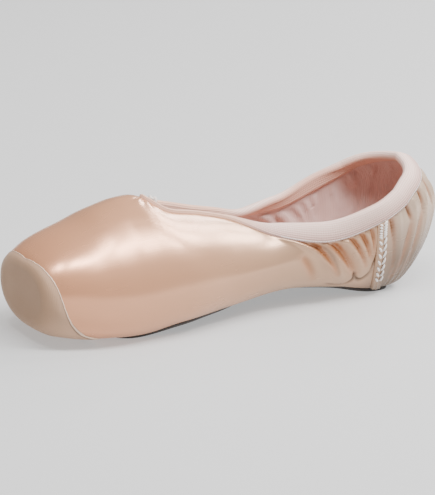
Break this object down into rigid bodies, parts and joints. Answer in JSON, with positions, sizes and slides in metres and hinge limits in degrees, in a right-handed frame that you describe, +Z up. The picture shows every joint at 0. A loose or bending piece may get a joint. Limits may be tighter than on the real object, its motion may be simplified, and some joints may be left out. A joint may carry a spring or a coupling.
{
  "type": "pointe shoe",
  "caption": "Satin ballet shoe with a stiff flat-ended toe box, low bound collar with a drawstring, and a short suede outsole.",
  "frame": {"origin": "on the floor, under the middle of the shoe's length and width", "axes": "+Y along the shoe from toe to heel, +Z up from the floor, +X across it"},
  "size_m": [0.0746, 0.2427, 0.0677],
  "materials": {
    "upper": "peach satin, softly glossy",
    "toe_patch": "worn satin, darker",
    "outsole": "dark suede",
    "insole": "matt cotton over board",
    "collar_binding": "ribbed knit tape",
    "side_seam_right": "satin tape",
    "side_seam_left": "satin tape",
    "drawstring_knot": "matt cotton cord",
    "drawstring_end_right": "matt cotton cord",
    "drawstring_end_left": "matt cotton cord"
  },
  "bodies": {
    "root": {"upper": "upper", "toe_patch": "toe_patch", "outsole": "outsole", "insole": "insole", "collar_binding": "collar_binding", "side_seam_right": "side_seam_right", "side_seam_left": "side_seam_left", "drawstring_knot": "drawstring_knot", "drawstring_end_right": "drawstring_end_right", "drawstring_end_left": "drawstring_end_left"}
  },
  "joints": []
}
